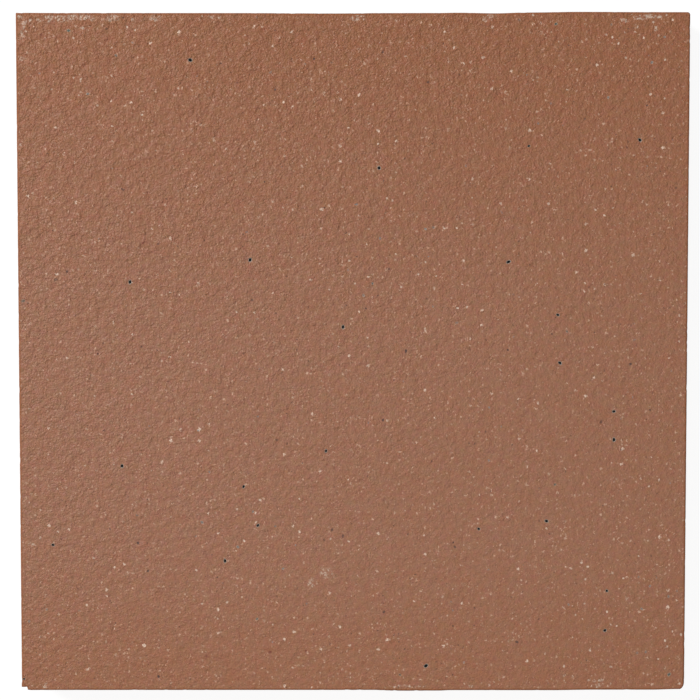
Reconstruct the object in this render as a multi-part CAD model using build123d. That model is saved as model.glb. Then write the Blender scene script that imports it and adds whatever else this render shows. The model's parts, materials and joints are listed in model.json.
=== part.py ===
from build123d import *
import math
import os

# Unglazed quarry tile, one piece of extruded and fired clay.
# X runs across the extrusion, from one die-formed edge to the other. Y runs along it, between the two
# wire-cut ends. Z runs up from the bedding face at zero to the wear face. Sizes are in millimetres.

# Overall size of the fired tile
tile_width = 149.0
tile_length = 151.6          # over the waves of the wire-cut ends
tile_thickness = 12.5

# Keying grooves that the bedding mortar locks into, along the extrusion
groove_count = 10
groove_depth = 1.6
groove_wall_lean = 30.0      # degrees from upright, opening towards the bed
groove_root_radius = 0.8
rib_land_width = 5.0         # flat between the mouths of two grooves
rib_edge_radius = 0.5
edge_strip_width = 12.0      # plain strip between the outermost groove and the tile's edge

# Arrises
wear_arris_radius = 0.45     # round the whole wear face
back_arris_radius = 1.0      # along the two die-formed edges only

# Corners seen from above
soft_corner_radius = 0.6     # far right corner
worn_corner_width = 1.1      # near right corner, rubbed to an oval
worn_corner_length = 1.9
chip_width = 1.4             # near left corner, broken off through the thickness
chip_length = 0.8
chip_root_radius = 0.3
chip_flare = 0.2             # how much wider the chip is at the wear face than at the back


def die_section():
    """Section that the die gives the clay: a slab with an even row of flared grooves in its back."""
    ribs_width = (groove_count - 1) * rib_land_width
    groove_mouth_width = (tile_width - 2 * edge_strip_width - ribs_width) / groove_count
    groove_pitch = groove_mouth_width + rib_land_width

    base = (Align.CENTER, Align.MIN)
    groove = Trapezoid(groove_mouth_width, groove_depth, 90 - groove_wall_lean, align=base)
    section = Rectangle(tile_width, tile_thickness, align=base)
    section -= GridLocations(groove_pitch, groove_pitch, groove_count, 1) * groove

    groove_roots = section.vertices().group_by(Axis.Y)[1]
    section = fillet(groove_roots, groove_root_radius)
    rib_edges = section.vertices().group_by(Axis.Y)[0].sort_by(Axis.X)[1:-1]
    section = fillet(rib_edges, rib_edge_radius)
    back_corners = section.vertices().group_by(Axis.Y)[0].sort_by(Axis.X)
    return fillet([back_corners[0], back_corners[-1]], back_arris_radius)


def plan_outline():
    """Outline seen from above, with the far right corner softened and the near right one worn away."""
    outline = Rectangle(tile_width, tile_length)
    far_right_corner = outline.vertices().group_by(Axis.Y)[-1].sort_by(Axis.X)[-1]
    outline = fillet(far_right_corner, soft_corner_radius)

    rubbed_oval = Ellipse(worn_corner_width, worn_corner_length)
    worn_away = Rectangle(worn_corner_width, worn_corner_length, align=(Align.MAX, Align.MIN))
    worn_away -= Pos(-worn_corner_width, worn_corner_length) * rubbed_oval
    return outline - Pos(tile_width / 2, -tile_length / 2) * worn_away


def corner_chip():
    """Flake missing from the near left corner, a little wider at the wear face than at the back."""
    flake = fillet(Rectangle(2 * chip_width, 2 * chip_length).vertices(), chip_root_radius)
    lean = math.degrees(math.atan2(chip_flare, tile_thickness))
    return Pos(-tile_width / 2, -tile_length / 2, tile_thickness) * extrude(flake, -tile_thickness, taper=lean)


def quarry_tile():
    """The extruded blank, cut to its outline, its wear face eased all round, and then chipped."""
    blank = extrude(Plane.XZ * die_section(), tile_length / 2, both=True)
    tile = blank & extrude(plan_outline(), tile_thickness)
    wear_face = tile.faces().sort_by(Axis.Z)[-1]
    tile = fillet(wear_face.outer_wire().edges(), wear_arris_radius)
    return tile - corner_chip()


os.makedirs("parts", exist_ok=True)
export_step(quarry_tile(), "parts/quarry_tile.step")
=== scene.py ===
"""Finish, studio and camera for the quarry tile.

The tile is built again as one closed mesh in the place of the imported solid: a wear face with a slight
warp, its pores and grit as real pits and grains, eased arrises, wavy wire-cut ends and the ribbed back.
Lengths are in millimetres up to the point where the mesh is made in metres, like the frame.
"""
import json
import math

import bpy
import numpy as np
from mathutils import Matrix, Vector, noise

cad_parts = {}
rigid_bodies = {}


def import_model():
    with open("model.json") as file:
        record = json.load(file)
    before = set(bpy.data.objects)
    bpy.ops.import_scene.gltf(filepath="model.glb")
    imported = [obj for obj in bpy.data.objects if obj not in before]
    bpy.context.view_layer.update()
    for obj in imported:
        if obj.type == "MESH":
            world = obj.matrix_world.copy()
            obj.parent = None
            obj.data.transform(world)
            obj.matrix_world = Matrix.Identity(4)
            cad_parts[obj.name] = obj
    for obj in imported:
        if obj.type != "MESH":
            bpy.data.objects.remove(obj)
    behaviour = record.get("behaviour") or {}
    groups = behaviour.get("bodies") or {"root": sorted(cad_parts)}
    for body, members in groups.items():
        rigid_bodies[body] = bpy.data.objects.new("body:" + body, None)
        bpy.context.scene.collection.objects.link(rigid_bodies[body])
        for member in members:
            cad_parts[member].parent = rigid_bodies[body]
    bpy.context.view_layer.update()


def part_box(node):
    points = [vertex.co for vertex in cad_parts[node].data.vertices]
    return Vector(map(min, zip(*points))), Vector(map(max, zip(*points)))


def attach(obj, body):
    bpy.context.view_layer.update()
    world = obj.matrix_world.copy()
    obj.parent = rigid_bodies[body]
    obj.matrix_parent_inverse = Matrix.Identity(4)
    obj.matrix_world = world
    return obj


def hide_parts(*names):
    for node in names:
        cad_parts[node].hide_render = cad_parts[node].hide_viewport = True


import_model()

MM = 0.001

# Sizes of the tile, as in the solid
solid_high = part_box("quarry_tile")[1]
HALF_WIDTH = solid_high.x / MM
HALF_LENGTH = solid_high.y / MM
THICKNESS = solid_high.z / MM
GROOVE_COUNT = 10
GROOVE_MOUTH = 8.0
GROOVE_PITCH = 13.0
GROOVE_DEPTH = 1.6
GROOVE_WALL_LEAN = 30.0      # degrees from upright, opening towards the bed
GROOVE_ROOT_RADIUS = 0.8
RIB_EDGE_RADIUS = 0.5
WEAR_ARRIS = 0.45            # radius round the whole wear face
BACK_ARRIS = 1.0             # radius along the back's two die-formed edges

# Corners seen from above: how far their ovals reach across and along
FAR_LEFT_CORNER = (0.25, 0.25)               # too fine for the solid, where it is square
FAR_RIGHT_CORNER = (0.6, 0.6)
NEAR_RIGHT_CORNER = (1.1, 1.9)

# Chip at the near left corner, drawn a little finer than in the solid
CHIP_DEPTH = 0.78
CHIP_WIDTH = 1.26            # from the left edge to the middle of the chip's wall
CHIP_WALL = 0.14             # run of that wall
CHIP_ARRIS = 0.1
CHIP_ARRIS_LENGTH = 1.0      # how far along the left edge the chip's finer arris goes

# The photograph's view
CAMERA_DISTANCE = 453.6      # from the middle of the wear face
CAMERA_LEAN = math.radians(3.23)
CAMERA_FAR = CAMERA_DISTANCE * math.sin(CAMERA_LEAN)         # along Y, on the far side of the middle
CAMERA_HEIGHT = CAMERA_DISTANCE * math.cos(CAMERA_LEAN)      # over the wear face
FOCAL_PIXELS = 2036.4        # focal length, in the photograph's pixels
PHOTO_SIDE = 700             # pixels
SENSOR_WIDTH = 36.0
FACE_CENTRE_PIXEL = (353.0, 354.6)
PIXEL = CAMERA_DISTANCE / FOCAL_PIXELS       # what one pixel covers on the wear face


def on_face(column, row):
    """Point of the wear face that the photograph shows at this column and row."""
    across = (column - FACE_CENTRE_PIXEL[0]) / FOCAL_PIXELS
    up = (FACE_CENTRE_PIXEL[1] - row) / FOCAL_PIXELS
    reach = CAMERA_HEIGHT / (math.cos(CAMERA_LEAN) + up * math.sin(CAMERA_LEAN))
    ray_y = up * math.cos(CAMERA_LEAN) - math.sin(CAMERA_LEAN)
    return across * reach, CAMERA_FAR + ray_y * reach


# How far the wavy ends fall short of the tile's full length: photo column, millimetres
FAR_END_WAVE = [(16, 0.2), (60, 0.25), (235, 0.26), (335, 0.35), (380, 0.27), (440, 0.25), (456, 0.19),
                (495, 0.32), (525, 0.14), (580, 0.0), (640, 0.05), (690, 0.06)]
NEAR_END_WAVE = [(20, 0.15), (60, 0.18), (376, 0.19), (386, 0.05), (405, 0.01), (440, 0.04), (452, 0.14),
                 (555, 0.14), (595, 0.25), (655, 0.25), (680, 0.38)]

# Open pores: photo column, row, width in pixels
PORES = [(190, 60, 3.4), (379, 168, 3.0), (529, 146, 2.2), (640, 140, 3.0), (250, 260, 3.2),
         (508.5, 262, 3.2), (130, 282, 3.0), (343, 327, 3.0), (558, 315, 2.6), (560, 363, 2.8),
         (614, 411.5, 2.8), (614, 439.7, 3.2), (546.5, 521, 3.0), (53, 545, 2.6), (225, 561, 3.0),
         (605, 630.5, 2.8), (607, 591, 2.4), (426, 666, 3.4), (24, 679, 2.0), (258, 525.5, 2.6),
         (478.6, 529, 2.4), (122, 466, 2.8), (326, 451, 2.6), (243.6, 486.7, 2.6)]

# Grains that show by themselves: photo column, row
DARK_GRIT = [(275, 89.6), (314, 59), (382.6, 52), (428, 82), (519, 20), (647, 105.5), (158, 244),
             (55.6, 279.6), (122, 189), (67, 271.5), (252, 300), (389, 269), (552, 334), (508, 350),
             (601, 422), (621, 449.7), (630.5, 364), (650, 410), (110, 529), (138, 543), (148, 571),
             (158.5, 676.6), (366, 308.5), (343, 536), (332, 530), (455, 547), (408, 534), (453, 626),
             (517, 642), (384, 612), (383, 420), (406, 351), (277, 440)]
TEAL_GRIT = [(556, 24), (555, 484.6), (23, 301), (567, 331.5), (257, 619), (400, 675), (669, 674.6),
             (68.5, 30.5)]
GREY_GRIT = [(638.6, 577), (650, 586), (677, 591), (46.7, 609.5), (29, 621.5), (668.5, 596.5),
             (425.5, 229), (433.5, 227.5), (363.5, 295.5), (433, 306.7), (372.4, 283.5), (348, 270),
             (456.8, 322.8), (641.7, 609), (568.5, 604.6), (637.2, 653), (645.7, 652), (202, 522.4),
             (195.8, 536.3), (253, 511.7), (275.3, 526.4), (237.8, 547), (283, 568.8), (611.5, 24.5),
             (664.7, 37), (652, 62.3), (608.3, 97.5), (116, 55.5), (88, 93.8), (132.3, 42.5),
             (39.5, 73.3)]
RED_GRIT = [(143, 243), (207, 656.5), (270, 652), (305.6, 651.5), (41, 35)]
PALE_GRIT = [(93.5, 558), (638.6, 556), (127, 27), (135, 30), (679.5, 683.5), (659, 17), (666.5, 15),
             (672.8, 19.8), (30.1, 20.4), (22.7, 23.7), (25.8, 31.3), (73.4, 38), (394.4, 687),
             (409.3, 686), (202, 16), (533, 15), (650.4, 94.3), (643.7, 37.8), (618.5, 43.3),
             (612.4, 37.2), (665, 59.8), (625.8, 57.6), (664.7, 98.4), (51.5, 89.4), (78.8, 95.2),
             (111, 101), (142, 114.8), (97.5, 105.4), (260, 500), (196.3, 570.2), (202, 603.7),
             (244, 540.7), (227, 602.3), (299.4, 498.8), (299.4, 531.8), (401.2, 287), (349.2, 260.7),
             (355, 283.5), (436.2, 276), (425.5, 262), (467, 307), (457.5, 308), (418.2, 274.3),
             (456.7, 228), (444.2, 228.3), (425, 328.3), (392.5, 200.5), (623.4, 578.3), (571.4, 568.7),
             (581.4, 562.7), (587.7, 566.7), (585.4, 579.2), (584.6, 603.7), (607, 611.8), (616.7, 626),
             (681, 634.6), (672.5, 631.4), (665, 640.6), (590, 650.6), (564, 666.3), (658.2, 659)]

# Pale scuffs: photo column, row, half width, half height, strength
SCUFFS = [(49, 18, 5, 4.5, 1.0), (60, 19, 7, 4, 0.85), (72, 16.5, 6, 5, 1.0), (83, 16.5, 7, 4, 1.0),
          (92, 18, 4, 3.5, 0.95), (82, 27.5, 3.5, 1.4, 1.0), (112, 18, 9, 4, 0.8), (153, 18, 8, 4, 0.8),
          (127, 28, 5, 4, 0.4), (215, 17, 10, 2.5, 0.6), (358, 18, 9, 3.5, 0.85), (485, 20, 4, 3, 0.8),
          (492, 16, 6, 3, 0.9), (622, 20, 3, 1.8, 1.2), (626, 20.6, 3, 1.8, 1.2), (632, 14, 2, 3, 0.9),
          (636, 17.5, 3, 2.5, 1.0), (641, 17.5, 5, 2.5, 1.0), (649, 15.5, 4, 3.5, 1.0),
          (652.5, 17, 3, 1.5, 1.1), (658, 16.3, 5, 1.8, 1.0), (635.8, 26.3, 2, 2.4, 1.0),
          (653.4, 22.5, 1.2, 1.8, 1.2), (656, 28.5, 2, 3, 1.1), (657.5, 34.6, 2.8, 1.1, 1.0),
          (24, 24, 3, 4, 0.9), (22, 34, 3, 6, 0.7), (20.7, 59, 4.5, 1.8, 1.0), (19, 145, 3, 6, 0.6),
          (30, 20, 4, 2.5, 0.75), (39, 21, 4, 3, 0.7), (20, 17, 4, 2.5, 0.7), (132, 20.5, 1.2, 2.8, 1.1),
          (29, 545, 7, 3, 0.7), (30, 583, 5, 2, 0.7), (256, 588, 6, 5, 0.45), (312, 583, 7, 7, 0.5),
          (326, 572, 8, 7, 0.5), (612, 480, 7, 7, 0.35), (46, 686, 4, 2.5, 0.8), (564, 676, 2.2, 1, 1.1),
          (563.5, 682, 1.6, 2.6, 0.8), (588.6, 680.5, 1.6, 1.1, 1.1), (594.5, 680.5, 1.6, 1.8, 1.2),
          (600, 680.3, 3.2, 1, 1.2), (596, 686, 1.3, 2.4, 1.1), (600, 685, 2, 1.8, 0.9),
          (609.5, 684.3, 0.9, 2.6, 1.2), (622, 678.3, 1.1, 2.6, 1.3), (619, 686, 1.1, 2.2, 1.0),
          (576, 614, 2.8, 1, 1.3), (570, 614, 2, 0.9, 0.9), (661.5, 646, 2, 0.8, 1.1),
          (667.5, 646.3, 3, 1, 1.2), (627.6, 598.4, 2.8, 0.8, 1.1), (80, 80.4, 0.9, 2, 1.2),
          (471, 687, 6, 3, 0.6), (410, 686, 20, 2.5, 0.6), (150, 593, 6, 7, 0.35)]


def smooth_step(low, high, value):
    """0 below low, 1 above high and a smooth rise between."""
    part = np.clip((value - low) / (high - low), 0, 1)
    return part * part * (3 - 2 * part)


def fading(reach, distance):
    """1 at the edge, 0 from reach inwards and a smooth fall between."""
    return 1 - smooth_step(0, reach, distance)


def eased(places, at):
    """Smooth run through (place, value) pairs."""
    known = np.array(places, float)
    k = np.clip(np.searchsorted(known[:, 0], at) - 1, 0, len(known) - 2)
    part = np.clip((at - known[k, 0]) / (known[k + 1, 0] - known[k, 0]), 0, 1)
    return known[k, 1] + (known[k + 1, 1] - known[k, 1]) * (1 - np.cos(np.pi * part)) / 2


NOISE_GAIN = 0.62            # stretches the noise to most of the range from 0 to 1


def waves(points, length, seed):
    """Smooth noise from 0 to 1 at each point, its waves about this long. Each seed has its own patch."""
    shift = Vector((seed * 17.3, seed * 5.1, seed * 9.7))    # any that keeps the patches apart
    values = [noise.noise(Vector(p) / length + shift) for p in points]
    return np.clip(0.5 + NOISE_GAIN * np.array(values), 0, 1)


# Small bites out of the arrises
BITE_COUNT = 60              # along each edge
BITE_HALF_LENGTH = (0.3, 0.9)
BITE_DEPTH = 0.09            # of the deepest bites, which are rare


def nibbles(seed, half_span):
    """Small bites out of one arris: a function that gives their depth at places along it."""
    draw = np.random.RandomState(seed)
    bites = [(draw.uniform(-half_span, half_span), draw.uniform(*BITE_HALF_LENGTH),
              BITE_DEPTH * draw.uniform(0, 1) ** 3) for _ in range(BITE_COUNT)]

    def depth(at):
        total = np.zeros(np.shape(at))
        for middle, half_length, deep in bites:
            total = np.maximum(total, deep * np.clip(1 - ((at - middle) / half_length) ** 2, 0, 1))
        return total
    return depth


left_nibbles = nibbles(11, HALF_LENGTH)
right_nibbles = nibbles(12, HALF_LENGTH)
near_nibbles = nibbles(13, HALF_WIDTH)
far_nibbles = nibbles(14, HALF_WIDTH)

# How far in from the outline the grid still bends to follow it
WAVE_REACH = 14.0
CHIP_REACH = 3.2
BITE_REACH = 1.6


def round_corner(u, v, corner_x, corner_y, radii):
    """Draws one square corner of the rectangle in to an oval."""
    along_x = (u * corner_x - (HALF_WIDTH - radii[0])) / radii[0]
    along_y = (v * corner_y - (HALF_LENGTH - radii[1])) / radii[1]
    inside = (along_x > 0) & (along_y > 0)
    oval_x = along_x * np.sqrt(np.clip(1 - along_y ** 2 / 2, 0, 1))
    oval_y = along_y * np.sqrt(np.clip(1 - along_x ** 2 / 2, 0, 1))
    new_u = corner_x * (HALF_WIDTH - radii[0] + oval_x * radii[0])
    new_v = corner_y * (HALF_LENGTH - radii[1] + oval_y * radii[1])
    return np.where(inside, new_u, u), np.where(inside, new_v, v)


def plan(u, v, bitten=1.0):
    """Takes points of the plain rectangle to their places in the real outline."""
    from_left, from_right = u + HALF_WIDTH, HALF_WIDTH - u
    from_near, from_far = v + HALF_LENGTH, HALF_LENGTH - v
    column = FACE_CENTRE_PIXEL[0] + u / PIXEL
    far_in = eased(FAR_END_WAVE, column)
    near_in = eased(NEAR_END_WAVE, column)
    chip_in = CHIP_DEPTH * np.clip((CHIP_WIDTH + CHIP_WALL / 2 - from_left) / CHIP_WALL, 0, 1)
    x, y = round_corner(u, v, -1, 1, FAR_LEFT_CORNER)
    x, y = round_corner(x, y, 1, 1, FAR_RIGHT_CORNER)
    x, y = round_corner(x, y, 1, -1, NEAR_RIGHT_CORNER)
    y = y - far_in * fading(WAVE_REACH, from_far)
    y = y + near_in * fading(WAVE_REACH, from_near)
    y = y + chip_in * fading(CHIP_REACH, from_near)
    x = x + bitten * left_nibbles(v) * fading(BITE_REACH, from_left)
    x = x - bitten * right_nibbles(v) * fading(BITE_REACH, from_right)
    y = y + bitten * near_nibbles(u) * fading(BITE_REACH, from_near)
    y = y - bitten * far_nibbles(u) * fading(BITE_REACH, from_far)
    return x, y


# Grid of the wear face
FACE_STEP = 0.605            # even step over most of the face
FINE_STEP = 0.13             # first step inwards of the arris
STEP_GROWTH = 1.22           # from each step to the next, up to the even one
ARRIS_STEP = 15              # degrees of the arris between two lines
SIDE_NAMES = ("near", "right", "far", "left")


def graded_lines(half_span, extra=()):
    """Grid lines from edge to edge: close together over the arris, then wider up to the even step."""
    inwards = [WEAR_ARRIS * (1 - math.cos(math.radians(turn))) for turn in range(0, 91, ARRIS_STEP)]
    gap = FINE_STEP
    while gap < FACE_STEP:
        inwards.append(inwards[-1] + gap)
        gap *= STEP_GROWTH
    edge = half_span - np.array(inwards)
    count = round(2 * edge[-1] / FACE_STEP)
    even = np.linspace(-edge[-1], edge[-1], count + 1)[1:-1]
    return np.sort(np.concatenate([-edge, even, edge, extra]))


def grid_quads(ids):
    """Squares of a grid, anticlockwise seen from above."""
    return np.stack([ids[:-1, :-1], ids[:-1, 1:], ids[1:, 1:], ids[1:, :-1]], 2)


def closed(row):
    """The row with its first value again at its end."""
    return np.append(row, row[:1], axis=0)


def rim_sides(ids):
    """The near, right, far and left side of a grid's rim, each anticlockwise seen from above."""
    return [ids[0], ids[:, -1], ids[-1, ::-1], ids[::-1, 0]]


def rim_loop(ids):
    """The whole rim of a grid, anticlockwise from its near left corner."""
    return np.concatenate([side[:-1] for side in rim_sides(ids)])


def stitched(upper, lower, upper_at, lower_at):
    """Triangles that close the strip between two rows of points that run the same way."""
    faces, a, b = [], 0, 0
    while a < len(upper) - 1 or b < len(lower) - 1:
        upper_next = b == len(lower) - 1
        if not upper_next and a < len(upper) - 1:
            upper_next = upper_at[a] + upper_at[a + 1] <= lower_at[b] + lower_at[b + 1]
        if upper_next:
            faces.append((upper[a], lower[b], upper[a + 1]))
            a += 1
        else:
            faces.append((upper[a], lower[b], lower[b + 1]))
            b += 1
    return faces


POINTS_AT_ONCE = 1500        # keeps the tables of distances small


def distances(points, outline, values):
    """Distance of each point from a closed outline, and the outline's value at the nearest place."""
    run = np.roll(outline, -1, 0) - outline
    following = np.roll(values, -1)
    far, value = [], []
    for start in range(0, len(points), POINTS_AT_ONCE):
        gap = points[start:start + POINTS_AT_ONCE, None] - outline[None]
        along = np.clip((gap * run).sum(2) / (run ** 2).sum(1), 0, 1)
        reach = np.linalg.norm(gap - along[..., None] * run, axis=2)
        best = reach.argmin(1)
        rows = np.arange(len(best))
        far.append(reach[rows, best])
        part = along[rows, best]
        value.append(values[best] * (1 - part) + following[best] * part)
    return np.concatenate(far), np.concatenate(value)


class Skin:
    """The tile's skin as it grows: points with what the material reads at each, and faces by part."""

    def __init__(self):
        self.count = 0
        self.points, self.zones, self.covers, self.arrises = [], [], [], []
        self.faces, self.parts = [], []

    def add_points(self, points, zone=(0, 0, 0), cover=(0, 0, 0, 0), arris=0):
        """Adds points and returns their numbers. Zone: share of die-formed edge, cut end and back."""
        size = len(points)
        self.points.append(points)
        self.zones.append(np.broadcast_to(zone, (size, 3)))
        self.covers.append(np.broadcast_to(cover, (size, 4)))
        self.arrises.append(np.broadcast_to(arris, size))
        self.count += size
        return np.arange(self.count - size, self.count)

    def add_faces(self, faces, part):
        """Adds faces that all have as many corners, as part of one surface."""
        faces = np.asarray(faces).tolist()
        self.faces += faces
        self.parts += [part] * len(faces)


# Unevenness of the wear face, and of the sides: depth and length of the waves
WARP_DEPTH, WARP_LENGTH = 0.06, 34
RIPPLE_DEPTH, RIPPLE_LENGTH = 0.02, 6
PEEL_DEPTH, PEEL_LENGTH = 0.014, 1.5
TORN_DEPTH, TORN_LENGTH = 0.1, 1.6           # on the wire-cut ends
TORN_STRETCH = (1, 1, 0.3)                   # down the wire's cut
DRAWN_DEPTH, DRAWN_LENGTH = 0.03, 1.2        # on the die-formed edges
DRAWN_STRETCH = (1, 0.05, 1)                 # along the die

# Arris of the wear face
ARRIS_LEAST, ARRIS_MORE = 0.82, 0.18         # its worn radius: the least share, and what waves add to it
ARRIS_WEAR_LENGTH = 3                        # of those waves
ARRIS_LINE = (0.28, 0.62)    # how far in from the outline its deeper red line fades out
EDGE_BAND = 1.6              # wide enough to hold the arris, the chip and the waves
FAR_INSIDE = 9.0             # stands for any distance from the outline beyond that band
END_TURN = 0.7               # on a cut end, more than this of the direction inwards is along Y


class Rim:
    """The wear face's rim, anticlockwise from the near left corner."""

    def __init__(self, u, v, x, y):
        ids = np.arange(u.size).reshape(u.shape)
        self.ids = rim_loop(ids)
        self.stops = np.cumsum([0] + [len(side) - 1 for side in rim_sides(ids)])
        self.u, self.v = u.ravel()[self.ids], v.ravel()[self.ids]
        self.outline = np.column_stack([x.ravel()[self.ids], y.ravel()[self.ids]])
        run = np.roll(self.outline, -1, 0) - np.roll(self.outline, 1, 0)
        self.inward = np.column_stack([-run[:, 1], run[:, 0]]) / np.linalg.norm(run, axis=1)[:, None]
        self.is_end = abs(self.inward[:, 1]) > END_TURN
        zeros = np.zeros(len(self.u))
        self.zone = np.column_stack([~self.is_end, self.is_end, zeros]).astype(float)
        wear = waves(np.column_stack([self.outline, zeros]), ARRIS_WEAR_LENGTH, seed=4)
        worn = WEAR_ARRIS * (ARRIS_LEAST + ARRIS_MORE * wear)
        chipped = (self.u < CHIP_WIDTH - HALF_WIDTH) & (self.v < CHIP_ARRIS_LENGTH - HALF_LENGTH)
        self.arris = np.where(chipped, CHIP_ARRIS, worn)


def surface_at(points, rim):
    """Height of the wear face at each point, and how much the point lies on the arris, from 0 to 1."""
    flat = [(x, y, 0) for x, y in points]
    sag = WARP_DEPTH * waves(flat, WARP_LENGTH, seed=1) + RIPPLE_DEPTH * waves(flat, RIPPLE_LENGTH, seed=2)
    sag += PEEL_DEPTH * waves(flat, PEEL_LENGTH, seed=3)
    gap, radius = np.full(len(points), FAR_INSIDE), np.full(len(points), WEAR_ARRIS)
    inside = np.minimum(HALF_WIDTH - abs(points[:, 0]), HALF_LENGTH - abs(points[:, 1]))
    close = inside < EDGE_BAND
    if close.any():
        gap[close], radius[close] = distances(points[close], rim.outline, rim.arris)
    short = np.clip(radius - gap, 0, None)
    drop = radius - np.sqrt(np.clip(radius ** 2 - short ** 2, 0, None))
    return THICKNESS - sag - drop, 1 - smooth_step(*ARRIS_LINE, gap)


# Shape of a spot, seen from above
SPOT_CORNERS = 10
SPOT_WOBBLE = 0.14           # how unevenly its corners stand out, as a share of its radius
SPOT_OVAL = 0.16             # how far from round it is
SPOT_MARGIN = 0.05           # room round it in its block, which keeps the faces there from folding
SPOT_SIZES = (0.7, 1.1)      # least and greatest share of its kind's width
SPOT_COVERS = (0.55, 1.0)    # least and greatest share of its kind's cover

# Rings of a spot, outermost first and its middle last: share of the radius, depth, tint, cover
# The pores' black cores are painted shade down in their pits
PORE_SHADE_BLACK = (0.006, 0.005, 0.005)
PORE_RIM = (0.3, 0.3, 0.26)
PORE_RINGS = [(1.5, 0.0, PORE_RIM, 0.0), (1.2, 0.01, PORE_RIM, 0.7), (0.86, 0.06, PORE_SHADE_BLACK, 1.0),
              (0.72, 0.3, PORE_SHADE_BLACK, 1.0), (0.6, 0.8, PORE_SHADE_BLACK, 1.0), (0.0, 0.9, PORE_SHADE_BLACK, 1.0)]

# Kinds of grain that show by themselves: places, width in pixels, tints of the rim and the core, cover
GRIT = [
    (DARK_GRIT, 2.8, (0.09, 0.034, 0.02), (0.03, 0.01, 0.007), 0.95),
    (GREY_GRIT, 2.7, (0.34, 0.28, 0.235), (0.145, 0.145, 0.13), 0.8),
    (TEAL_GRIT, 3.6, (0.3, 0.24, 0.17), (0.03, 0.05, 0.042), 0.95),
    (RED_GRIT, 3.0, (0.17, 0.035, 0.015), (0.12, 0.02, 0.01), 0.9),
    (PALE_GRIT, 2.5, (0.55, 0.38, 0.28), (0.66, 0.5, 0.39), 0.9),
]


def grit_rings(rim_tint, core_tint, cover):
    """Rings of a grain that lies almost flush in the face."""
    return [(1.2, 0.0, rim_tint, 0.0), (0.9, 0.012, rim_tint, cover), (0.65, 0.02, core_tint, cover),
            (0.0, 0.022, core_tint, cover)]


def spots():
    """Every listed spot: its place, its radius and its rings."""
    draw = np.random.RandomState(5)
    made = [(on_face(column, row), width * PIXEL / 2, PORE_RINGS) for column, row, width in PORES]
    for places, width, rim_tint, core_tint, cover in GRIT:
        for column, row in places:
            radius = width * PIXEL / 2 * draw.uniform(*SPOT_SIZES)
            rings = grit_rings(rim_tint, core_tint, cover * draw.uniform(*SPOT_COVERS))
            made.append((on_face(column, row), radius, rings))
    return made


def fit_spots(x, y):
    """Opens a block of grid squares for each spot, and says which squares are open and which points go."""
    opened = np.zeros((x.shape[0] - 1, x.shape[1] - 1), bool)
    dropped = np.zeros(x.shape, bool)
    fitted = []
    for (spot_x, spot_y), radius, rings in spots():
        reach = radius * rings[0][0] * (1 + SPOT_WOBBLE) * (1 + SPOT_OVAL) + SPOT_MARGIN
        row = abs(y[:, y.shape[1] // 2] - spot_y).argmin()
        column = abs(x[row] - spot_x).argmin()
        left, right = np.searchsorted(x[row], [spot_x - reach, spot_x + reach]) + [-1, 0]
        low, high = np.searchsorted(y[:, column], [spot_y - reach, spot_y + reach]) + [-1, 0]
        beyond = left < 0 or low < 0 or right == x.shape[1] or high == x.shape[0]
        if beyond or opened[low:high, left:right].any():
            print("no room for the spot at", round(spot_x, 1), round(spot_y, 1))
            continue
        opened[low:high, left:right] = True
        dropped[low + 1:high, left + 1:right] = True
        fitted.append((np.array([spot_x, spot_y]), radius, rings, np.s_[low:high + 1, left:right + 1]))
    return fitted, opened, dropped


def add_spot(skin, rim, centre, radii, rings, turns, border, border_places):
    """Fills one opened block with the rings of its spot."""
    spokes = np.column_stack([np.cos(turns[:-1]), np.sin(turns[:-1])]) * radii[:, None]
    before = None
    for share, depth, tint, cover in rings:
        places = centre + spokes * share if share else centre[None]
        height, arris = surface_at(places, rim)
        points = np.column_stack([places, height - depth])
        after = skin.add_points(points, cover=[*np.multiply(tint, cover), cover], arris=arris)
        if before is None:
            offsets = border_places - centre
            border_turns = np.mod(np.arctan2(offsets[:, 1], offsets[:, 0]), 2 * math.pi)
            order = border_turns.argsort()
            outer_turns = np.append(border_turns[order], border_turns[order[0]] + 2 * math.pi)
            skin.add_faces(stitched(closed(after), closed(border[order]), turns, outer_turns), "top")
        elif share:
            skin.add_faces(np.column_stack([before, np.roll(before, -1), np.roll(after, -1), after]), "top")
        else:
            middle = np.full(SPOT_CORNERS, after[0])
            skin.add_faces(np.column_stack([before, np.roll(before, -1), middle]), "top")
        before = after


def wear_face(skin):
    """Adds the wear face with its pores and grains, and returns its rim and the rim's point numbers."""
    chip_lines = CHIP_WIDTH - HALF_WIDTH + CHIP_WALL * np.array([-0.5, 0, 0.5])
    across, along = graded_lines(HALF_WIDTH, chip_lines), graded_lines(HALF_LENGTH)
    u, v = np.meshgrid(across, along)
    x, y = plan(u, v)
    rim = Rim(u, v, x, y)
    fitted, opened, dropped = fit_spots(x, y)
    kept = ~dropped.ravel()
    flat = np.column_stack([x.ravel(), y.ravel()])
    height, arris = surface_at(flat[kept], rim)
    zone = np.zeros((len(flat), 3))
    zone[rim.ids] = 0.5 * rim.zone
    skin.add_points(np.column_stack([flat[kept], height]), zone[kept], arris=arris)
    number = (np.cumsum(kept) - 1).reshape(u.shape)
    skin.add_faces(grid_quads(number)[~opened], "top")

    draw = np.random.RandomState(8)
    turns = np.linspace(0, 2 * math.pi, SPOT_CORNERS + 1)
    for centre, radius, rings, block in fitted:
        border = rim_loop(number[block])
        places = np.column_stack([rim_loop(x[block]), rim_loop(y[block])])
        oval = 1 + SPOT_OVAL * np.cos(2 * (turns[:-1] - draw.uniform(0, math.pi)))
        wobble = oval * draw.uniform(1 - SPOT_WOBBLE, 1 + SPOT_WOBBLE, SPOT_CORNERS)
        add_spot(skin, rim, centre, radius * wobble, rings, turns, border, places)
    return rim, number.ravel()[rim.ids]


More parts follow.
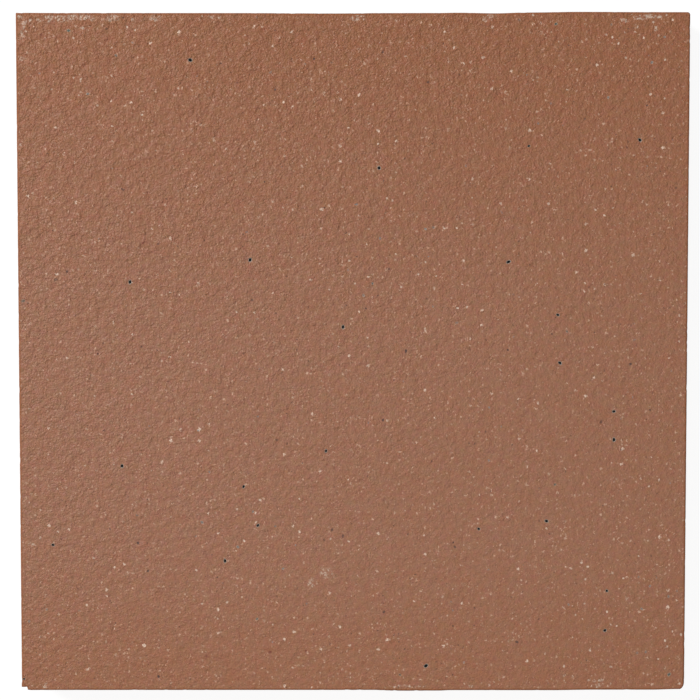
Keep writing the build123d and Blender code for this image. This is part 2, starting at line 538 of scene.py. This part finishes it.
# The sides
WALL_TOP = THICKNESS - WEAR_ARRIS - WARP_DEPTH
WALL_FOOT = 2.7              # where the back's own rim takes over
WALL_LOOPS = (0.05, 0.14, 0.3, 0.48, 0.66, 0.84, 1.0)       # shares of the way down from top to foot
BITE_FOOT = 0.16             # share of the way down where the bites end
ROUGH_TOP = 0.1              # share of the way down where the roughness is whole
CORNER_CALM = (1.0, 4.0)     # distances from a corner between which the roughness sets in
ARRIS_FOOT = (0.5, 1.3)      # depths below the wear face between which the arris's tint fades out


def walls(skin, rim, above):
    """Adds the four sides, in loops down from the rim, and returns the lowest loop."""
    plain = np.column_stack(plan(rim.u, rim.v, bitten=0))
    calm = smooth_step(*CORNER_CALM, np.maximum(HALF_WIDTH - abs(rim.u), HALF_LENGTH - abs(rim.v)))
    for part in WALL_LOOPS:
        height = WALL_TOP + (WALL_FOOT - WALL_TOP) * part
        place = plain + (rim.outline - plain) * fading(BITE_FOOT, part)
        loop = np.column_stack([place, np.full(len(place), height)])
        torn = TORN_DEPTH * waves(loop * TORN_STRETCH, TORN_LENGTH, seed=5)
        drawn = DRAWN_DEPTH * waves(loop * DRAWN_STRETCH, DRAWN_LENGTH, seed=6)
        rough = np.where(rim.is_end, torn, drawn) * calm * smooth_step(0, ROUGH_TOP, part)
        loop[:, :2] += rim.inward * rough[:, None]
        below = skin.add_points(loop, rim.zone, arris=1 - smooth_step(*ARRIS_FOOT, THICKNESS - height))
        for name, start, stop in zip(SIDE_NAMES, rim.stops, rim.stops[1:]):
            a, b = closed(above)[start:stop + 1], closed(below)[start:stop + 1]
            skin.add_faces(np.column_stack([a[:-1], b[:-1], b[1:], a[1:]]), name)
        above = below
    return above


# Grid of the back
ROOT_LINE = 1.3              # from a groove's middle to a line on its flat root
STRIP_LINES = (2.5, 5.0, 8.5)                # from the tile's edge, on the plain strips
END_LINES = (0, 0.35, 0.8, 1.3, 1.9, 2.6, 4, 6.5)            # from the cut ends
EVEN_ROWS = 26               # rows at even steps from the last of those lines to the one facing it
BACK_DENT_DEPTH, BACK_DENT_LENGTH = 0.06, 5
BACK_DENT_STRETCH = (1, 0.2, 0)              # along the grooves
BACK_DENT_START = 0.35       # height of the waves from which they dent the back


def arc(x, z, radius, first, last, steps):
    """Points on an arc round (x, z), from the first to the last turn in degrees."""
    turns = np.radians(np.linspace(first, last, steps + 1))
    return [(x + radius * math.cos(t), z + radius * math.sin(t)) for t in turns]


def back_stations():
    """Places across the back, each with its height there: arrises, lands and the grooves' flared walls."""
    turn = math.radians(90 - GROOVE_WALL_LEAN)
    root_half = GROOVE_MOUTH / 2 - GROOVE_DEPTH / math.tan(turn)
    root_arc = arc(root_half - GROOVE_ROOT_RADIUS * math.tan(turn / 2), GROOVE_DEPTH - GROOVE_ROOT_RADIUS,
                   GROOVE_ROOT_RADIUS, 90, 90 - math.degrees(turn), 3)
    rib_arc = arc(GROOVE_MOUTH / 2 + RIB_EDGE_RADIUS * math.tan(turn / 2), RIB_EDGE_RADIUS,
                  RIB_EDGE_RADIUS, 270 - math.degrees(turn), 270, 3)
    half_groove = [(ROOT_LINE, GROOVE_DEPTH)] + root_arc + rib_arc
    groove = [(-x, z) for x, z in reversed(half_groove)] + [(0, GROOVE_DEPTH)] + half_groove
    first = -(GROOVE_COUNT - 1) / 2 * GROOVE_PITCH
    stations = []
    for k in range(GROOVE_COUNT):
        stations += [(first + k * GROOVE_PITCH + x, z) for x, z in groove]
        if k < GROOVE_COUNT - 1:
            stations.append((first + (k + 0.5) * GROOVE_PITCH, 0))
    edge_arc = arc(BACK_ARRIS - HALF_WIDTH, BACK_ARRIS, BACK_ARRIS, 180, 270, 5)
    edge = edge_arc + [(inward - HALF_WIDTH, 0) for inward in STRIP_LINES]
    return np.array(edge + stations + [(-x, z) for x, z in reversed(edge)])


def back_rows():
    """Places along the back, closer together towards the two cut ends."""
    edge = HALF_LENGTH - np.array(END_LINES)
    even = np.linspace(-edge[-1], edge[-1], EVEN_ROWS)[1:-1]
    return np.sort(np.concatenate([-edge, even, edge]))


def ribbed_back(skin, rim, foot):
    """Adds the back, and closes the strips between it and the foot of the sides."""
    stations = back_stations()
    u, v = np.meshgrid(stations[:, 0], back_rows())
    x, y = plan(u, v, bitten=0)
    points = np.column_stack([x.ravel(), y.ravel(), np.tile(stations[:, 1], len(u))])
    dents = waves(points * BACK_DENT_STRETCH, BACK_DENT_LENGTH, seed=7) - BACK_DENT_START
    points[:, 2] += BACK_DENT_DEPTH * np.clip(dents, 0, None)
    ids = skin.add_points(points, zone=(0, 0, 1)).reshape(u.shape)
    skin.add_faces(grid_quads(ids).reshape(-1, 4)[:, ::-1], "back")
    foot_at = [rim.u, rim.v, -rim.u, -rim.v]
    back_at = [u, v, -u, -v]
    for k, (name, lower) in enumerate(zip(SIDE_NAMES, rim_sides(ids))):
        span = np.s_[rim.stops[k]:rim.stops[k + 1] + 1]
        lower_at = back_at[k].ravel()[lower - ids[0, 0]]
        skin.add_faces(stitched(closed(foot)[span], lower, closed(foot_at[k])[span], lower_at), name)


def scuff_at(points):
    """Strength of the pale scuffs at each point of the wear face."""
    total = np.zeros(len(points))
    for column, row, half_width, half_height, strength in SCUFFS:
        x, y = on_face(column, row)
        across = (points[:, 0] - x) / (half_width * PIXEL)
        along = (points[:, 1] - y) / (half_height * PIXEL)
        total = np.maximum(total, strength * np.exp(-(across ** 2 + along ** 2) ** 2))
    near_face = points[:, 2] > THICKNESS - 1
    return total * near_face


def paint(mesh, skin, points):
    """Stores what the material reads at each point: its surface, spot colour, scuffs and arris."""
    def colours(name, values):
        attribute = mesh.attributes.new(name, "FLOAT_COLOR", "POINT")
        attribute.data.foreach_set("color", values.astype(np.float32).ravel())

    def numbers(name, values):
        attribute = mesh.attributes.new(name, "FLOAT", "POINT")
        attribute.data.foreach_set("value", values.astype(np.float32))

    colours("surface", np.column_stack([np.concatenate(skin.zones), np.ones(len(points))]))
    colours("spot", np.concatenate(skin.covers))
    numbers("scuff", scuff_at(points))
    numbers("arris", np.concatenate(skin.arrises))


def lay_out_map(mesh, points, parts):
    """Lays the surfaces out on the bake's map: most of it for the wear face, strips for the rest."""
    face_share, back_share, strip, margin = 0.765, 0.2, 0.05, 0.006
    corner_points = np.empty(len(mesh.loops), np.int32)
    mesh.loops.foreach_get("vertex_index", corner_points)
    totals = np.empty(len(mesh.polygons), np.int32)
    mesh.polygons.foreach_get("loop_total", totals)
    part = np.repeat(np.array(parts), totals)
    x, y, z = points[corner_points].T
    across = (x + HALF_WIDTH) / (2 * HALF_WIDTH)
    along = (y + HALF_LENGTH) / (2 * HALF_LENGTH)
    up = z / THICKNESS
    places = {
        "top": (margin + across * face_share, 1 - margin - face_share + along * face_share),
        "back": (margin + across * face_share, margin + along * back_share),
    }
    for k, (name, run) in enumerate(zip(SIDE_NAMES, (across, along, across, along))):
        strip_u = face_share + 2 * margin + k * (strip + margin)
        places[name] = (strip_u + up * strip, margin + run * (1 - 2 * margin))
    layer = mesh.uv_layers.new(name="OFBake")
    uv = np.zeros((len(part), 2), np.float32)
    for name, (map_u, map_v) in places.items():
        chosen = part == name
        uv[chosen, 0], uv[chosen, 1] = map_u[chosen], map_v[chosen]
    layer.data.foreach_set("uv", uv.ravel())


SHARP_ANGLE = math.radians(38)               # where two faces fold more than this, the edge is shaded sharp


def tile_mesh():
    """The whole tile as one closed mesh, with the attributes and the map that its material needs."""
    skin = Skin()
    rim, rim_ids = wear_face(skin)
    foot = walls(skin, rim, rim_ids)
    ribbed_back(skin, rim, foot)
    points = np.concatenate(skin.points)
    mesh = bpy.data.meshes.new("tile_body")
    mesh.from_pydata((points * MM).tolist(), [], skin.faces)
    paint(mesh, skin, points)
    lay_out_map(mesh, points, skin.parts)
    mesh.shade_smooth()
    mesh.set_sharp_from_angle(angle=SHARP_ANGLE)
    mesh.update()
    return mesh


class Graph:
    """Short calls that add a node and return the output that the next call takes."""

    def __init__(self, tree):
        self.tree = tree
        tree.nodes.clear()

    def add(self, kind, inputs=None, output=0, **settings):
        """Adds a node of a kind. Each input is a value, or the output that it is linked to."""
        made = self.tree.nodes.new("ShaderNode" + kind)
        for name, value in settings.items():
            setattr(made, name, value)
        for key, value in (inputs or {}).items():
            if isinstance(value, bpy.types.NodeSocket):
                self.tree.links.new(value, made.inputs[key])
            else:
                made.inputs[key].default_value = value
        return made.outputs[output] if made.outputs else made

    def calc(self, operation, a, b=0.0, c=0.0, clamp=False):
        """Result of a calculation with numbers."""
        return self.add("Math", {0: a, 1: b, 2: c}, operation=operation, use_clamp=clamp)

    def vector(self, operation, a, b, c=(0, 0, 0), output="Vector"):
        """Result of a calculation with vectors. A dot product comes out as "Value"."""
        return self.add("VectorMath", {0: a, 1: b, 2: c}, output, operation=operation)

    def noise(self, place, size, detail=0.0, output=0):
        """Noise with waves about this long: one number, or three as a colour from output 1."""
        return self.add("TexNoise", {"Vector": place, "Scale": 1 / size, "Detail": detail}, output)

    def step(self, value, low, high, out_low=0.0, out_high=1.0):
        """Smooth change from out_low to out_high while the value goes from low to high."""
        return self.add("MapRange", {"Value": value, "From Min": low, "From Max": high,
                                     "To Min": out_low, "To Max": out_high},
                        interpolation_type="SMOOTHSTEP")

    def mix(self, factor, a, b, blend="MIX"):
        """Two colours blended."""
        return self.add("Mix", {0: factor, 6: a, 7: b}, 2, data_type="RGBA", blend_type=blend)

    def times(self, a, b):
        """Two colours multiplied."""
        return self.mix(1.0, a, b, "MULTIPLY")

    def attribute(self, name, output="Fac"):
        """What the mesh stores at each point under this name."""
        return self.add("Attribute", output=output, attribute_name=name)

    def grains(self, place, spacing, small, large, softness):
        """Scattered grains of many sizes: 1 inside a grain and 0 between them. Also each grain's chance."""
        cells = self.add("TexVoronoi", {"Vector": place, "Scale": 1 / spacing}).node
        chance = self.add("SeparateColor", {0: cells.outputs["Color"]})
        radius = self.add("MapRange", {"Value": chance, "To Min": small / spacing,
                                       "To Max": large / spacing})
        radius = self.calc("MAXIMUM", radius, 0.001)
        core = self.calc("MULTIPLY", radius, softness)
        return self.step(cells.outputs["Distance"], core, radius, 1.0, 0.0), chance

    def pebbles(self, place, spacing):
        """Rounded bumps side by side, seen from above: low in the gaps and high on the bumps."""
        gap = self.add("TexVoronoi", {"Vector": place, "Scale": 1 / spacing, "Smoothness": 0.6},
                       feature="SMOOTH_F1", voronoi_dimensions="2D")
        return self.calc("SUBTRACT", 0.5, gap)


def linear(red, green, blue):
    """Colour for a socket, from linear parts."""
    return red, green, blue, 1.0


WHITE = linear(1, 1, 1)
BLACK = linear(0, 0, 0)

# Tints of the fired clay, and how much the arris's red and the duller skin cover
# The paler tint stands partly for painted sheen, laid towards the near left corner
CLAY_PALE_SHEENED = linear(0.273, 0.1185, 0.064)
CLAY_DEEP = linear(0.259, 0.108, 0.054)
ARRIS_RED = linear(0.26, 0.087, 0.031)
DULL_SKIN = linear(0.23, 0.095, 0.055)
SCUFF_CHALK = linear(0.60, 0.45, 0.35)
ARRIS_COVER = 0.75
SKIN_COVER = 0.35

# What the clay's colour is multiplied by near the two ends of the tile, where it is painted shade with less
# sheen, and in its blotches
END_PAINTED_SHADE = linear(0.95, 0.84, 0.67)
BLOTCH_FIRING = linear(1.025, 0.96, 0.94)

# Scattered grains: name, spacing, least and greatest radius, softness, range of cover, tint, shift.
# There is one chance of a grain in each cell of the spacing, and a radius below zero leaves it empty.
GRAINS = [
    ("faint", 0.62, -0.09, 0.28, 0.3, (0.12, 0.68), (0.50, 0.27, 0.175), (0, 0, 0)),
    ("medium", 0.98, -0.2, 0.38, 0.3, (0.15, 0.68), (0.56, 0.35, 0.245), (90, 31, 7)),
    ("bright", 2.1, -0.6, 0.46, 0.5, (0.2, 0.9), (0.66, 0.47, 0.36), (40, 11, 5)),
    ("dark", 1.2, -0.3, 0.24, 0.5, (0.3, 0.8), (0.08, 0.032, 0.02), (7, 90, 31)),
    ("rust", 4.4, -0.3, 0.34, 0.5, (0.3, 0.6), (0.20, 0.05, 0.03), (70, 20, 3)),
    ("slate", 2.7, -0.5, 0.36, 0.4, (0.2, 0.6), (0.19, 0.185, 0.18), (23, 50, 81)),
]


def clay_tint_and_painted_light(g, place):
    """Colour of the clay, with its slow drift of fired tone, its blotches and its fine mottling, and
    painted light: a paler sheen towards the near left corner, and shade with less sheen towards both ends.
    """

    # Painted sheen: paler and hazier towards the near left corner and deeper towards the far right one,
    # with a slow random drift of tone on top
    sheen_lean = g.vector("DOT_PRODUCT", place, (0.0062, 0.0048, 0), output="Value")
    drift = g.calc("MULTIPLY", g.calc("SUBTRACT", g.noise(place, 48, 1), 0.5), 0.9)
    drift_and_sheen = g.calc("ADD", g.calc("ADD", sheen_lean, drift), 0.5, clamp=True)
    clay = g.mix(drift_and_sheen, CLAY_PALE_SHEENED, CLAY_DEEP)

    # Painted shade: darker and redder, with less sheen, towards both ends, and most of all towards the far
    # one
    up = g.vector("DOT_PRODUCT", place, (0, 1, 0), output="Value")
    ends = g.calc("ADD", g.step(up, 0.0, 85.0), g.step(up, -80.0, -38.0, 0.7, 0.0))
    clay = g.mix(ends, clay, g.times(clay, END_PAINTED_SHADE))

    # Blotches, mottling and speckle, each finer than the one before
    blotch = g.step(g.noise(place, 3.2, 2), 0.3, 0.7)
    clay = g.mix(blotch, clay, g.times(clay, BLOTCH_FIRING))
    mottling = g.noise(place, 1.1, 1, output=1)
    mottling = g.vector("MULTIPLY_ADD", mottling, (0.16, 0.27, 0.33), (0.92, 0.865, 0.835))
    speckle = g.noise(place, 0.5, 2, output=1)
    speckle = g.vector("MULTIPLY_ADD", speckle, (0.12, 0.16, 0.2), (0.94, 0.92, 0.9))
    grain = g.calc("MULTIPLY_ADD", g.noise(place, 0.22, 1), 0.6, 0.7)
    return g.times(g.times(g.times(clay, mottling), speckle), grain)


def with_grains(g, ragged, clay):
    """Adds the scattered grog and grit, and returns the colour with each kind's mask."""
    masks = {}

    # In some places the grains are faint, and in others they crowd out the clay
    crowd = g.step(g.noise(ragged, 2.2, 1), 0.36, 0.64, 0.6, 1.45)
    for name, spacing, small, large, softness, covers, tint, shift in GRAINS:
        mask, chance = g.grains(g.vector("ADD", ragged, shift), spacing, small, large, softness)
        cover = g.calc("MULTIPLY", mask, g.step(chance, 0.2, 1.0, *covers))
        clay = g.mix(g.calc("MULTIPLY", cover, crowd, clamp=True), clay, linear(*tint))
        masks[name] = mask
    return clay, masks


def with_scuffs(g, ragged, clay):
    """Adds the pale scuffs, broken up into crumbs of chalky clay."""
    crumb, chance = g.grains(g.vector("ADD", ragged, (11, 3, 70)), 0.5, 0.26, 0.46, 0.3)

    # Where a scuff is weaker, only the crumbs with the higher chances show
    strength = g.calc("MULTIPLY_ADD", chance, 0.55, g.attribute("scuff"))
    scuff = g.calc("MULTIPLY", crumb, g.step(strength, 0.6, 1.15, 0.0, 0.85))
    return g.mix(scuff, clay, SCUFF_CHALK), scuff


def with_edges(g, zones, clay):
    """Tints the arris a deeper red, and gives the die-formed edges and the back a duller skin."""
    side, _, back = zones
    clay = g.mix(g.calc("MULTIPLY", g.attribute("arris"), ARRIS_COVER), clay, ARRIS_RED)
    skin = g.calc("MULTIPLY", g.calc("ADD", side, back), SKIN_COVER)
    return g.mix(skin, clay, DULL_SKIN)


def with_spots(g, clay):
    """Lays on the spots, whose stored colour is already weighed by their cover: the grains' tints, and the
    pores' black, which is painted shade in their pits.
    """
    # The spots' cover blacks out the clay first; for a pore this black is its painted shade
    clay = g.mix(g.attribute("spot", "Alpha"), clay, BLACK)
    return g.mix(1.0, clay, g.attribute("spot", "Color"), "ADD")


# Heights of the fine relief, in millimetres
PEEL_HEIGHT = 0.27
PEBBLE_HEIGHT = 0.08
SWELL_HEIGHT = 0.26
DRAWN_HEIGHT = 0.08
TORN_HEIGHT = 0.3
BRIGHT_GRAIN_HEIGHT = 0.012
DARK_GRAIN_HEIGHT = -0.03


def relief(g, place, zones, masks):
    """Height of the fine relief, in millimetres: leathery on the face, drawn and torn on the rest."""
    side, end, back = zones
    peel = g.calc("MULTIPLY_ADD", g.noise(place, 0.42, 1.5), PEEL_HEIGHT, -PEEL_HEIGHT / 2)
    peel = g.calc("MULTIPLY_ADD", g.pebbles(place, 0.8), PEBBLE_HEIGHT, peel)
    peel = g.calc("MULTIPLY", peel, g.step(g.noise(place, 4.0, 1), 0.3, 0.7, 0.85, 1.15))
    peel = g.calc("MULTIPLY_ADD", g.noise(place, 1.3), SWELL_HEIGHT, peel)

    # The leathery grain is deeper towards the far left corner and quieter towards the near right one
    far_left = g.vector("DOT_PRODUCT", place, (-0.0038, 0.0038, 0), output="Value")
    peel = g.calc("MULTIPLY", peel, g.step(far_left, -0.5, 0.5, 0.5, 1.15))

    # Each texture is stretched the way the clay moved: along the die, and down the wire's cut
    drawn = g.noise(g.vector("MULTIPLY", place, (1, 0.04, 1)), 0.5, 3)
    torn = g.noise(g.vector("MULTIPLY", place, (1, 1, 0.12)), 0.6, 3)
    drawn, torn = g.calc("MULTIPLY", drawn, DRAWN_HEIGHT), g.calc("MULTIPLY", torn, TORN_HEIGHT)
    height = g.calc("MULTIPLY_ADD", drawn, g.calc("ADD", side, back), peel)
    height = g.calc("MULTIPLY_ADD", torn, end, height)
    height = g.calc("MULTIPLY_ADD", masks["bright"], BRIGHT_GRAIN_HEIGHT, height)
    return g.calc("MULTIPLY_ADD", masks["dark"], DARK_GRAIN_HEIGHT, height)


# Roughness of the face, between a least and a greatest value, and what the drier places add to it
FACE_ROUGHNESS = (0.5, 0.6)
SCUFF_DRYNESS = 0.25
ARRIS_DRYNESS = 0.3
BACK_DRYNESS = 0.15


def roughness(g, place, zones, scuff):
    """Satin in patches on the face, and drier on the scuffs, the arris, the cut ends and the back."""
    _, end, back = zones
    rough = g.step(g.noise(place, 2.4, 2), 0.3, 0.7, *FACE_ROUGHNESS)
    rough = g.calc("MULTIPLY_ADD", scuff, SCUFF_DRYNESS, rough)
    rough = g.calc("MULTIPLY_ADD", g.attribute("arris"), ARRIS_DRYNESS, rough)
    return g.calc("MULTIPLY_ADD", g.calc("ADD", end, back), BACK_DRYNESS, rough, clamp=True)


def clay_material():
    """Unglazed red-brown fired clay with pale grog, rare dark grit, leathery relief and dry scuffs."""
    material = bpy.data.materials.new("fired_clay_unglazed")
    material.use_nodes = True
    g = Graph(material.node_tree)
    place = g.vector("MULTIPLY", g.add("TexCoord", output="Object"), (1 / MM, 1 / MM, 1 / MM))
    ragged = g.vector("MULTIPLY_ADD", g.noise(place, 0.42, 3, output=1), (1.1, 1.1, 1.1), place)
    zones = g.add("SeparateColor", {0: g.attribute("surface", "Color")}).node.outputs

    clay, masks = with_grains(g, ragged, clay_tint_and_painted_light(g, place))
    clay, scuff = with_scuffs(g, ragged, clay)
    clay = with_spots(g, with_edges(g, zones, clay))
    normal = g.add("Bump", {"Strength": 1.0, "Distance": MM, "Height": relief(g, place, zones, masks)})
    shader = g.add("BsdfPrincipled", {"Base Color": clay, "Roughness": roughness(g, place, zones, scuff),
                                      "Normal": normal, "Specular IOR Level": 0.42})
    g.add("OutputMaterial", {"Surface": shader})
    return material


def seen_directly(g):
    """1 for rays that the camera, a reflection or a refraction sees by, and 0 for those that give light."""
    path = g.add("LightPath").node
    seen = g.calc("ADD", path.outputs["Is Camera Ray"], path.outputs["Is Glossy Ray"], clamp=True)
    return g.calc("ADD", seen, path.outputs["Is Transmission Ray"], clamp=True)


# What is seen of the floor: a glow that the lamps bring up to white, and dim paper that takes the shadow
FLOOR_GLOW = 0.885
SHADOW_GREY = linear(0.18, 0.18, 0.18)
PALE_GREY = linear(0.8, 0.8, 0.8)


def floor_material():
    """White paper that takes a faint soft shadow where it is seen, and is a plain pale floor otherwise."""
    material = bpy.data.materials.new("floor_paper")
    material.use_nodes = True
    g = Graph(material.node_tree)
    plain = g.add("BsdfDiffuse", {"Color": PALE_GREY})
    shaded = g.add("BsdfDiffuse", {"Color": SHADOW_GREY})
    glow = g.add("Emission", {"Color": WHITE, "Strength": FLOOR_GLOW})
    white = g.add("AddShader", {0: shaded, 1: glow})
    g.add("OutputMaterial", {"Surface": g.add("MixShader", {0: seen_directly(g), 1: plain, 2: white})})
    return material


def link(item):
    """Puts an object into the scene and returns it."""
    bpy.context.collection.objects.link(item)
    return item


tile = link(bpy.data.objects.new("tile_body", tile_mesh()))
tile.data.materials.append(clay_material())
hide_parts("quarry_tile")
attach(tile, "root")

# The floor, in metres, lies a hair below the tile, so that the two never share a plane
FLOOR_HALF = 3.0
FLOOR_LEVEL = -0.00005
floor_mesh = bpy.data.meshes.new("floor")
floor_sides = ((-1, -1), (1, -1), (1, 1), (-1, 1))
floor_corners = [(x * FLOOR_HALF, y * FLOOR_HALF, FLOOR_LEVEL) for x, y in floor_sides]
floor_mesh.from_pydata(floor_corners, [], [(0, 1, 2, 3)])
floor_mesh.materials.append(floor_material())
link(bpy.data.objects.new("floor", floor_mesh))


def area_lamp(name, place, size, watts):
    """Square soft light at a place in metres, turned to the tile."""
    lamp = bpy.data.lights.new(name, "AREA")
    lamp.size = size
    lamp.energy = watts
    item = link(bpy.data.objects.new(name, lamp))
    item.location = place
    item.rotation_euler = (-Vector(place)).to_track_quat("-Z", "Y").to_euler()


# A soft window beyond the far left corner, and a weak lamp overhead that gives the face its satin
area_lamp("key", (-0.85, 0.60, 0.85), 0.45, 17.0)
area_lamp("sheen", (0.06, -0.14, 0.56), 0.35, 0.85)

# The studio's walls: white where they are seen, and a soft fill for the light that falls on things
FILL_STRENGTH = 0.17
world = bpy.data.worlds.new("studio")
world.use_nodes = True
bpy.context.scene.world = world
sky = Graph(world.node_tree)
strength = sky.step(seen_directly(sky), 0.0, 1.0, FILL_STRENGTH, 1.0)
sky.add("OutputWorld", {"Surface": sky.add("Background", {"Color": WHITE, "Strength": strength})})

lens = bpy.data.cameras.new("camera")
lens.sensor_width = SENSOR_WIDTH
lens.lens = FOCAL_PIXELS * SENSOR_WIDTH / PHOTO_SIDE
lens.shift_x = (PHOTO_SIDE / 2 - FACE_CENTRE_PIXEL[0]) / PHOTO_SIDE
lens.shift_y = (FACE_CENTRE_PIXEL[1] - PHOTO_SIDE / 2) / PHOTO_SIDE
lens.clip_start = 0.01
camera = link(bpy.data.objects.new("camera", lens))
camera.location = (0, CAMERA_FAR * MM, (THICKNESS + CAMERA_HEIGHT) * MM)
camera.rotation_euler = (-CAMERA_LEAN, 0, 0)
bpy.context.scene.camera = camera
bpy.context.scene.view_settings.view_transform = "Standard"
